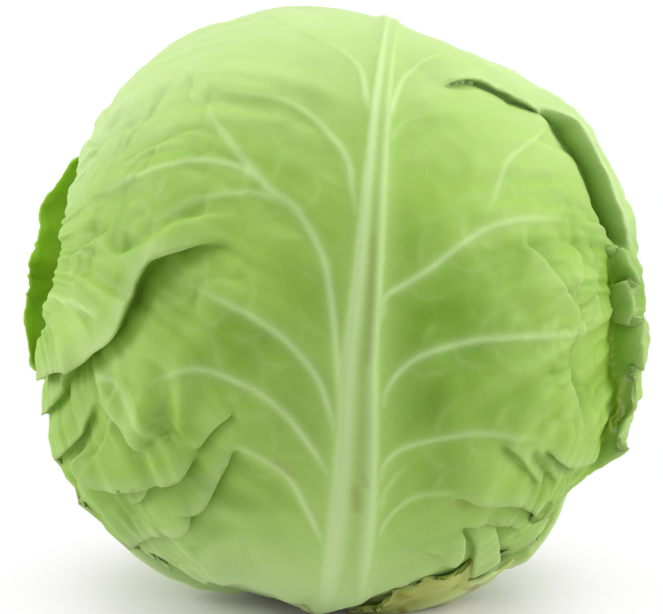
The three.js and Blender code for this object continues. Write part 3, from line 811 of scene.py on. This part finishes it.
class CabbageOperator:
    """What the operators of this head share."""

    bl_options = {"REGISTER"}

    # Pleats: share, then width over the veins and length along them in degrees
    PLEATS = ((0.75, 4.6, 24), (0.38, 2.3, 11))
    PLEAT_HEIGHT = 1.3
    PLEAT_OUTWARD = 0.5
    # Creases: size and depth in millimetres
    CREASES = ((15, 0.85), (9, 0.45))
    CREASE_WIDTH = 0.1
    # Blisters: size, height and added height at the margin in millimetres, seed
    BLISTERS = ((14, 0.8, 0, 0), (6.5, 0.45, 0.8, 40))
    FINE_BLISTERS = (3, 0.1, 0.25, 80)
    # The rib across: angles from its middle and widths in degrees, then heights
    RIB_BLOCK = (5.2, 0.8)
    RIB_RIDGES = (3.5, 1.3, 0.8)
    RIB_GROOVE = (0.6, 1.9, 0.9)
    # Shares of the half width over which the relief sets in and grows to the margin
    OUTWARD = (0.15, 0.7)
    NEAR_EDGE = (0.7, 1)
    COVERED_RELIEF = 0.5
    FLAT_RIB = 9
    VEIN_HEIGHT = 0.7
    LEAST_LIFT = 0.5
    FLOOR_BLADE = 0.6

    def leaf(self, context, name):
        """A leaf with the leaves that lie outside it."""
        form = HeadForm(context.scene.cabbage_sizes)
        outside = []
        for other in LEAVES:
            leaf = Leaf(form, other, list(outside))
            if other == name:
                return leaf
            outside.append(leaf)
        raise RuntimeError("no leaf is named " + name)

    def quilting(self, leaf, up_rib, off_rib):
        """Shallow pleats that run with the side veins, about -1 to 1."""
        over_veins = up_rib - 0.55 * np.abs(off_rib)
        with_veins = np.sign(off_rib) * 40 + off_rib
        total = np.zeros(len(up_rib))
        for share, over, along in self.PLEATS:
            place = np.stack([over_veins / over, with_veins / along, 0 * up_rib + leaf.seed + 0.5], axis=1)
            total += share * soft_noise(place, 1, 7)
        return total

    def rib_relief(self, leaf, up_rib, off_rib):
        """The rib's two ridges with the groove between them, in millimetres."""
        taper = rib_taper(up_rib)
        across = leaf.from_rib(up_rib, off_rib) / taper
        width, height = self.RIB_BLOCK
        block = height * hill(across, width, 8)
        off, width, height = self.RIB_RIDGES
        ridges = height * hill(np.abs(across) - off, width)
        off, width, height = self.RIB_GROOVE
        groove = height * hill(across - off, width)
        upper = 0.35 + 0.65 * smooth_step(up_rib, 26, 62)
        return taper * (block + upper * (ridges - groove))

    def creases(self, leaf, place, share):
        """Sharp small creases in patches toward the margins, in millimetres."""
        patches = soft_noise(place, 23, leaf.seed + 91)
        patchy = smooth_step(share, *self.OUTWARD) * smooth_step(patches, -0.35, 0.45)
        total = np.zeros(len(place))
        for scale, depth in self.CREASES:
            crossing = soft_noise(place, scale, leaf.seed + scale)
            total += depth * hill(crossing, self.CREASE_WIDTH) * patchy
        return total

    def blisters(self, leaf, place, share, size, height, at_margin, seed):
        """The blade's uneven relief of one size, in millimetres."""
        height = height + at_margin * smooth_step(share, *self.NEAR_EDGE)
        return height * soft_noise(place, size, leaf.seed + seed)

    def crumple(self, leaf, directions, place, share, relief):
        """The relief of an inner leaf, which is crumpled and flat where it is covered."""
        relief = relief + 0.9 * smooth_step(share, 0.35, 0.8) * soft_noise(place, 4.2, leaf.seed + 60)
        covered = np.isfinite(room_under(leaf.outside, directions))
        relief = np.where(covered, np.minimum(relief, self.COVERED_RELIEF), relief)
        return relief + 0.34 * np.clip(leaf.bulge(directions), 0, 9) * soft_noise(place, 3.6, 3)

    def build_leaf(self, leaf, net, strokes, masks, material, slot):
        """Builds a leaf's closed shell from its net, veins and folds."""
        rows, columns, coarse = net
        veins, folds = strokes
        up_rib, off_rib, share_up, share_off = [grid.ravel() for grid in leaf_net(leaf, rows, columns)]
        directions = leaf.form.direction(leaf.turn, up_rib, off_rib)
        folded = fold_field([Stroke(line) for line, _ in folds], [sizes for _, sizes in folds], directions)
        lift, shaded_hollow, highlit_lip, move = folded
        lines = [Stroke(line) for _, line in veins]
        vein, terrace = vein_field(lines, veins, directions, leaf.form.across, FINEST_VEIN / columns)
        radius = leaf.plain_radius(directions)
        place = directions * radius[:, None]
        share = np.abs(share_off)
        pleats = self.quilting(leaf, up_rib, off_rib)
        creases = self.creases(leaf, place, share)
        relief = masks["ripples"](directions) - creases
        relief += (self.PLEAT_HEIGHT + self.PLEAT_OUTWARD * smooth_step(share, *self.OUTWARD)) * pleats
        for sizes in self.BLISTERS:
            relief += self.blisters(leaf, place, share, *sizes)
        if leaf.layer > 0:
            relief = self.crumple(leaf, directions, place, share, relief)
        relief += self.blisters(leaf, place, share, *self.FINE_BLISTERS)
        calm = 1 - hill(off_rib, self.FLAT_RIB)
        free = np.minimum(1, smooth_step(share_up, 0, 0.05) + hill(off_rib, 24, 4))
        radius += lift * (self.LEAST_LIFT + (1 - self.LEAST_LIFT) * free) + self.VEIN_HEIGHT * vein
        radius += (relief + terrace) * calm + self.rib_relief(leaf, up_rib, off_rib)
        radius = np.minimum(radius, leaf.form.floor_radius(unit(directions + move)))

        outer = unit(directions + move) * radius[:, None] + leaf.form.centre
        thin = BLADE * (1 - (1 - MARGIN_BLADE) * smooth_step(share, 0.93, 1))
        thin *= 1 - 0.6 * np.clip(shaded_hollow + highlit_lip, 0, 1)
        grid = outer.reshape(rows + 1, columns + 1, 3)
        inner = grid - grid_normals(grid) * thin.reshape(rows + 1, columns + 1, 1)
        above = np.minimum(grid[..., 2] + self.FLOOR_BLADE, self.FLOOR_BLADE)
        inner[..., 2] = np.maximum(inner[..., 2], above)
        points = np.concatenate([outer, inner[::coarse, ::coarse].reshape(-1, 3)])

        across = leaf.from_rib(up_rib, off_rib) / rib_taper(up_rib)
        rib = hill(across, 4.9, 6) * (1 - 0.75 * hill(across - 0.7, 2.1))
        rib = np.maximum(rib, 0.25 * hill(across, 10))
        # Painted shade: the fold hollows, the pleats' valleys and the creases darken the blade toward the
        # deep green. Painted highlight: the fold lips and the pleats' ridges pale it, and the pale mask is
        # taken out of the hollows.
        deep = masks["deep"](directions) + 0.9 * shaded_hollow + 0.28 * calm * np.clip(-pleats, 0, 1)
        pale = masks["pale"](directions, up_rib) + 0.3 * highlit_lip + 0.14 * calm * np.clip(pleats, 0, 1)
        fields = {
            "vein": np.maximum(0.66 * vein, 0.75 * rib),
            "deep": deep + 0.22 * creases,
            "pale": pale * (1 - 0.9 * shaded_hollow),
            "stain": masks["stains"](directions),
        }
        for name, values in fields.items():
            values = np.clip(values, 0, 1).reshape(rows + 1, columns + 1)
            fields[name] = np.concatenate([values.ravel(), values[::coarse, ::coarse].ravel()])
        return make_piece(leaf.name, points, shell_faces(rows, columns, coarse), fields, material, slot)


class CABBAGE_OT_front_leaf(CabbageOperator, bpy.types.Operator):
    """Builds the front leaf with its rib, veins and folds"""

    bl_idname = "cabbage.front_leaf"
    bl_label = "Front leaf"

    NET = (280, 268, 2)
    BRANCH_SPACING = 4.5
    BRANCH_WIDTHS = (0.26, 0.2)

    def branches(self, veins):
        """Thin veins that leave the main ones to both sides in turn."""
        random = np.random.RandomState(4)
        found = []
        for (width, _), line in veins:
            stroke = Stroke(line)
            count = int(stroke.length / self.BRANCH_SPACING)
            for k in range(1, count):
                index = int(len(stroke.points) * (k + random.uniform(-0.3, 0.3)) / count)
                here = stroke.points[index]
                along = stroke.tangents[index]
                aside = stroke.lefts[index] * (1 if k % 2 else -1)
                reach = math.radians(random.uniform(8, 15) * min(1, 0.5 + width / 2))
                first = here + reach * (0.20 * along + 0.40 * aside)
                second = here + reach * (0.72 * along + 0.62 * aside)
                found.append((self.BRANCH_WIDTHS, unit(np.array([here, first, second]))))
        return found

    def execute(self, context):
        leaf = self.leaf(context, "leaf_front")
        stage = context.scene.cabbage_stage
        seen_at = leaf.form.seen_at
        veins = [(widths, seen_at(line, stage)) for widths, line in FRONT_VEINS]
        veins += self.branches(veins)
        folds = [(seen_at(line, stage), sizes) for _, line, sizes in FRONT_FOLDS]
        _, line, sizes = FRONT_MARGIN_ROLL
        roll = np.array(line, float)
        folds.append((leaf.form.direction(leaf.turn, roll[:, 0], roll[:, 1]), sizes))
        patches = [(seen_at([pixel], stage)[0], *sizes) for pixel, *sizes in FRONT_DARK_AND_SHADED_PATCHES]
        middles = [(seen_at([pixel], stage)[0], *sizes) for pixel, *sizes in FRONT_RIPPLES]
        marks = [(Stroke(seen_at(line, stage)), *sizes) for line, *sizes in FRONT_STAINS]

        # Darker green and painted shade from the listed patches
        def deep(directions):
            total = np.zeros(len(directions))
            for middle, reach, strength in patches:
                total = np.maximum(total, strength * hill(degrees_between(directions, middle), reach))
            return total

        def pale(directions, up_rib):
            from_stem = degrees_between(directions, -leaf.form.crown)
            # Paler toward the stem, as the base is, and paler toward the crown: a painted highlight of the
            # light from above
            return 0.7 * (1 - smooth_step(from_stem, 8, 55)) + 0.6 * smooth_step(up_rib, 105, 165)

        def ripples(directions):
            total = np.zeros(len(directions))
            for middle, over, along, height in middles:
                sideways = unit(np.cross([0.0, 0.0, 1.0], middle))
                off = np.degrees(np.arcsin(directions @ sideways))
                run = np.degrees(np.arcsin(directions @ np.cross(middle, sideways)))
                ripple = height * hill(off, over) * hill(run, along)
                total += np.where(directions @ middle > 0, ripple, 0)
            return total

        def stains(directions):
            total = np.zeros(len(directions))
            for stroke, width, strength in marks:
                off, _, past, _ = stroke.beside(directions)
                total = np.maximum(total, strength * hill(off, width) * hill(past, width))
            return total

        look = context.scene.cabbage_look
        material = leaf_material("front leaf", look, look.blade, look.deep)
        masks = {"deep": deep, "pale": pale, "ripples": ripples, "stains": stains}
        self.build_leaf(leaf, self.NET, (veins, folds), masks, material, "leaf_green")
        return {"FINISHED"}


class CABBAGE_OT_other_leaves(CabbageOperator, bpy.types.Operator):
    """Builds the back leaf, the side leaves and the torn leaf base"""

    bl_idname = "cabbage.other_leaves"
    bl_label = "Other leaves"

    # Leaf, rows, columns and coarseness of its net, blade colour and slot
    PLANS = (
        ("leaf_back", (260, 240, 4), (0.28, 0.48, 0.025), "leaf_green"),
        ("leaf_left", (232, 212, 4), (0.25, 0.44, 0.03), "leaf_bright"),
        ("leaf_right", (232, 212, 4), (0.28, 0.45, 0.035), "leaf_bright"),
        ("torn_leaf_base", (96, 120, 4), (0.50, 0.54, 0.13), "leaf_base_pale"),
    )
    VEIN_STARTS = (24, 150)
    VEIN_SPACING = 17
    VEIN_SHARES = (0.0, 0.2, 0.45, 0.7, 0.95)

    def side_veins(self, leaf):
        """Side veins that leave the rib in pairs and arch to the margin."""
        random = np.random.RandomState(leaf.seed + 5)
        first, last = self.VEIN_STARTS
        share = np.array(self.VEIN_SHARES)
        veins = []
        for side in (-1, 1):
            for start in np.arange(first, min(last, leaf.end), self.VEIN_SPACING):
                rise = start + random.uniform(-4, 4)
                half = float(leaf.half_width(np.array([rise + 25]), np.array([side]))[0])
                up_rib = rise + 34 * share ** 0.8 + random.uniform(-2, 2, len(share)) * share
                off_rib = side * (2 + (half - 4) * share)
                veins.append(((1.1, 0.5), leaf.form.direction(leaf.turn, up_rib, off_rib)))
        return veins

    def nothing(self, directions, up_rib=None):
        """A mask that marks no place."""
        return np.zeros(len(directions))

    def browned(self, directions):
        """A mask of the places where a torn blade has dried."""
        place = directions * 90
        spots = soft_noise(place, 5, 61) + 0.5 * soft_noise(place, 2.2, 62)
        return 0.75 * smooth_step(spots, 0.15, 0.9)

    def execute(self, context):
        look = context.scene.cabbage_look
        for name, net, blade, slot in self.PLANS:
            leaf = self.leaf(context, name)

            def pale(directions, up_rib):
                from_stem = degrees_between(directions, -leaf.form.crown)
                return 0.7 * (1 - smooth_step(from_stem, 12, 55))

            masks = {"deep": self.nothing, "pale": pale, "ripples": self.nothing, "stains": self.nothing}
            if leaf.end < SHORT_LEAF:
                veins = []
                masks.update(pale=self.nothing, stains=self.browned)
            else:
                veins = self.side_veins(leaf)
            material = leaf_material(name.replace("_", " "), look, blade, look.deep)
            self.build_leaf(leaf, net, (veins, []), masks, material, slot)
        return {"FINISHED"}


class CABBAGE_OT_heart(CabbageOperator, bpy.types.Operator):
    """Builds the heart, whose own leaves overlap in spiral steps"""

    bl_idname = "cabbage.heart"
    bl_label = "Heart"

    RINGS = 130
    TURNS = 220
    LAYERS_DOWN = 4.7
    LEAF_TURN = 137.5
    LEAF_HALF = 62
    LEAVES_SEEN = 6
    STEP = 0.9
    BLADE_COLOUR = (0.52, 0.68, 0.28)
    DEEP_COLOUR = (0.42, 0.60, 0.18)

    def step(self, form, directions):
        """How far the overlapping heart leaves stand out, in millimetres."""
        total = np.zeros(len(directions))
        for k in range(self.LEAVES_SEEN):
            up_rib, off_rib = form.angles(self.LEAF_TURN * k, directions)
            half = self.LEAF_HALF * np.sin(np.radians(np.clip(up_rib, 8, 172)))
            inside = smooth_step(half - np.abs(off_rib), -0.8, 1.2)
            total = np.maximum(total, inside * self.STEP * (1 - k / self.LEAVES_SEEN))
        return total

    def execute(self, context):
        form = HeadForm(context.scene.cabbage_sizes)
        leaves = []
        for name in LEAVES:
            leaves.append(Leaf(form, name, list(leaves)))
        polar = np.radians(np.linspace(0, 180, self.RINGS + 1))[1:-1, None, None]
        rings = np.cos(polar) * form.crown + np.sin(polar) * form.around(self.TURNS)
        directions = np.concatenate([form.crown[None], rings.reshape(-1, 3), -form.crown[None]])
        radius = form.radius(directions) - self.LAYERS_DOWN * LAYER + self.step(form, directions)
        radius += 0.3 * soft_noise(directions * 80, 7, 21)
        radius = np.minimum(radius, room_under(leaves, directions))
        radius = np.minimum(radius, form.floor_radius(directions) - 2 * LAYER)
        points = directions * radius[:, None] + form.centre
        faces = ring_faces(self.RINGS - 1, self.TURNS, True)
        look = context.scene.cabbage_look
        material = leaf_material("heart leaves", look, self.BLADE_COLOUR, self.DEEP_COLOUR)
        make_piece("heart", points, faces, {}, material, "heart_pale")
        return {"FINISHED"}


class CABBAGE_OT_stem(CabbageOperator, bpy.types.Operator):
    """Builds the cut stem with the stubs of trimmed leaf stalks"""

    bl_idname = "cabbage.stem"
    bl_label = "Stem"

    # Distance below the centre and radius, in millimetres
    BUTT = [(81.6, 6), (81.6, 11.9), (82.2, 12.8), (83.1, 14.1), (83.6, 14.4), (83.8, 13.9), (83.6, 11),
            (83.7, 7), (83.5, 3)]
    STUB = [(80.8, 2), (80.8, 4.2), (83.9, 3.9), (84.5, 3.6), (84.8, 3.1), (84.6, 1.4)]
    STUB_TURNS = (-8, 118, 236)
    STUB_OUT = 9.8
    SIDES = 72
    BLADE_COLOUR = (0.69, 0.70, 0.38)
    DEEP_COLOUR = (0.55, 0.58, 0.26)

    def turned(self, form, profile, sideways, seed):
        """A closed turned shape along the growth axis, slightly uneven."""
        around = form.around(self.SIDES)
        rings = [form.centre - form.crown * down + sideways + around * radius for down, radius in profile]
        ends = [form.centre - form.crown * profile[k][0] + sideways for k in (0, -1)]
        points = np.concatenate([ends[0][None], *rings, ends[1][None]])
        points += 0.14 * soft_noise(points, 1.9, seed)[:, None] * form.crown
        return points, ring_faces(len(profile), self.SIDES, False)

    def browned(self, form, points):
        """A mask of the cut face's rim."""
        from_centre = points - form.centre
        along = from_centre @ form.crown
        out = np.linalg.norm(from_centre - along[:, None] * form.crown, axis=1)
        return 0.5 * smooth_step(-along, 83.0, 83.7) * smooth_step(out, 9, 14)

    def execute(self, context):
        form = HeadForm(context.scene.cabbage_sizes)
        points, faces = self.turned(form, self.BUTT, np.zeros(3), 3)
        for k, turn in enumerate(self.STUB_TURNS):
            outward, _ = form.rib_frame(turn)
            stub, stub_faces = self.turned(form, self.STUB, outward * self.STUB_OUT, 5 + k)
            faces += [[index + len(points) for index in face] for face in stub_faces]
            points = np.concatenate([points, stub])
        look = context.scene.cabbage_look
        material = leaf_material("stem flesh", look, self.BLADE_COLOUR, self.DEEP_COLOUR)
        make_piece("stem", points, faces, {"stain": self.browned(form, points)}, material, "stem_cream")
        return {"FINISHED"}


class CABBAGE_OT_stage(CabbageOperator, bpy.types.Operator):
    """Sets the floor, the lights and the camera"""

    bl_idname = "cabbage.stage"
    bl_label = "Stage"

    FLOOR = 4
    FLOOR_COLOUR = (0.97, 0.90, 0.98, 1)
    # Where the floor's shadow starts to fade and where it is plain white, in metres
    FADE = (0.035, 0.112)
    SEEN_WHITE = 1.05
    SENSOR = 36
    # Each light's place and size in metres
    TOP_LIGHT = ((0.12, -0.05, 1.1), 1.1)
    LEFT_LIGHT = ((-1.0, 0.05, 0.4), 0.7)
    RIGHT_LIGHT = ((1.0, -0.1, 0.45), 0.7)

    def light(self, name, place, size, power, aim):
        """A soft square light that faces the head."""
        data = bpy.data.lights.new(name, "AREA")
        data.shape = "SQUARE"
        data.size = size
        data.energy = power
        light = bpy.data.objects.new(name, data)
        light.location = place
        toward = aim - light.location
        light.rotation_euler = toward.to_track_quat("-Z", "Y").to_euler()
        bpy.context.scene.collection.objects.link(light)

    def floor(self):
        """A white floor that turns into plain white light away from the head."""
        side = self.FLOOR
        mesh = bpy.data.meshes.new("floor")
        mesh.from_pydata([(-side, -side, 0), (side, -side, 0), (side, side, 0), (-side, side, 0)], [],
                         [(0, 1, 2, 3)])
        floor = bpy.data.objects.new("floor", mesh)
        bpy.context.scene.collection.objects.link(floor)
        white = bpy.data.materials.new("white floor")
        white.use_nodes = True
        tree = white.node_tree
        shader = tree.nodes["Principled BSDF"]
        shader.inputs["Base Color"].default_value = self.FLOOR_COLOUR
        shader.inputs["Roughness"].default_value = 0.7
        make = node_maker(tree)
        place = make("ShaderNodeTexCoord").outputs["Object"]
        flat = make("ShaderNodeVectorMath", "On the floor", {0: place, 1: (1, 1, 0)}, operation="MULTIPLY")
        away = make("ShaderNodeVectorMath", "From the head", {0: flat.outputs[0], 1: (0, -0.02, 0)},
                    operation="DISTANCE")
        start, end = self.FADE
        share = make("ShaderNodeMapRange", "From shadow to white",
                     {"From Min": start, "From Max": end, "Value": away.outputs["Value"]},
                     interpolation_type="SMOOTHSTEP")
        glow = make("ShaderNodeEmission", "Plain white", {"Strength": 1.0})
        mix = make("ShaderNodeMixShader", "Floor",
                   {0: share.outputs[0], 1: shader.outputs[0], 2: glow.outputs[0]})
        tree.links.new(mix.outputs[0], tree.nodes["Material Output"].inputs["Surface"])
        mesh.materials.append(white)
        return floor

    def surroundings(self, sky):
        """White surroundings that light the head less than the camera sees."""
        world = bpy.data.worlds.new("white surroundings")
        world.use_nodes = True
        tree = world.node_tree
        background = tree.nodes["Background"].inputs
        background["Color"].default_value = (1, 1, 1, 1)
        make = node_maker(tree)
        seen = make("ShaderNodeLightPath").outputs["Is Camera Ray"]
        strength = make("ShaderNodeMapRange", "Seen white, dimmer as light",
                        {"To Min": sky, "To Max": self.SEEN_WHITE, "Value": seen})
        tree.links.new(strength.outputs[0], background["Strength"])
        return world

    def execute(self, context):
        scene = context.scene
        stage = scene.cabbage_stage
        form = HeadForm(scene.cabbage_sizes)
        self.floor()
        scene.world = self.surroundings(stage.sky)
        scene.view_settings.view_transform = "Standard"
        aim = Vector(form.centre * MILLIMETRE)
        self.light("top light", *self.TOP_LIGHT, stage.key, aim)
        self.light("left light", *self.LEFT_LIGHT, stage.rim, aim)
        self.light("right light", *self.RIGHT_LIGHT, stage.rim, aim)

        place, _, right, up = form.camera_axes(stage)
        data = bpy.data.cameras.new("camera")
        data.sensor_width = self.SENSOR
        data.lens = self.SENSOR * stage.distance / MILLIMETRE * PIXELS_PER_MM / VIEW_WIDTH
        camera = bpy.data.objects.new("camera", data)
        offset = (VIEW_WIDTH / 2 - HEAD_PIXEL[0]) * right + (HEAD_PIXEL[1] - VIEW_HEIGHT / 2) * up
        back = unit(place - offset / PIXELS_PER_MM)
        side = unit(np.cross([0.0, 0.0, 1.0], back))
        turned = Matrix(np.stack([side, np.cross(back, side), back], axis=1).tolist()).to_4x4()
        camera.matrix_world = Matrix.Translation((form.centre + place) * MILLIMETRE) @ turned
        scene.collection.objects.link(camera)
        scene.camera = camera
        return {"FINISHED"}


class CABBAGE_PT_panel(bpy.types.Panel):
    """Lists the pieces of the head"""

    bl_label = "Cabbage head"
    bl_space_type = "VIEW_3D"
    bl_region_type = "UI"
    bl_category = "Cabbage"

    def draw(self, context):
        layout = self.layout
        for operator in OPERATORS:
            layout.operator(operator.bl_idname)
        for group in (context.scene.cabbage_sizes, context.scene.cabbage_look, context.scene.cabbage_stage):
            for name in group.__annotations__:
                layout.prop(group, name)


OPERATORS = (CABBAGE_OT_front_leaf, CABBAGE_OT_other_leaves, CABBAGE_OT_heart, CABBAGE_OT_stem,
             CABBAGE_OT_stage)
CLASSES = (LeafLook, HeadSizes, StageSizes, *OPERATORS, CABBAGE_PT_panel)


def register():
    """Registers the classes and the settings."""
    for cls in CLASSES:
        bpy.utils.register_class(cls)
    bpy.types.Scene.cabbage_look = PointerProperty(type=LeafLook)
    bpy.types.Scene.cabbage_sizes = PointerProperty(type=HeadSizes)
    bpy.types.Scene.cabbage_stage = PointerProperty(type=StageSizes)


def unregister():
    """Takes the classes and the settings away."""
    del bpy.types.Scene.cabbage_look
    del bpy.types.Scene.cabbage_sizes
    del bpy.types.Scene.cabbage_stage
    for cls in reversed(CLASSES):
        bpy.utils.unregister_class(cls)


def main():
    """Builds the head."""
    register()
    bpy.ops.cabbage.front_leaf()
    bpy.ops.cabbage.other_leaves()
    bpy.ops.cabbage.heart()
    bpy.ops.cabbage.stem()
    bpy.ops.cabbage.stage()


if __name__ == "__main__":
    main()
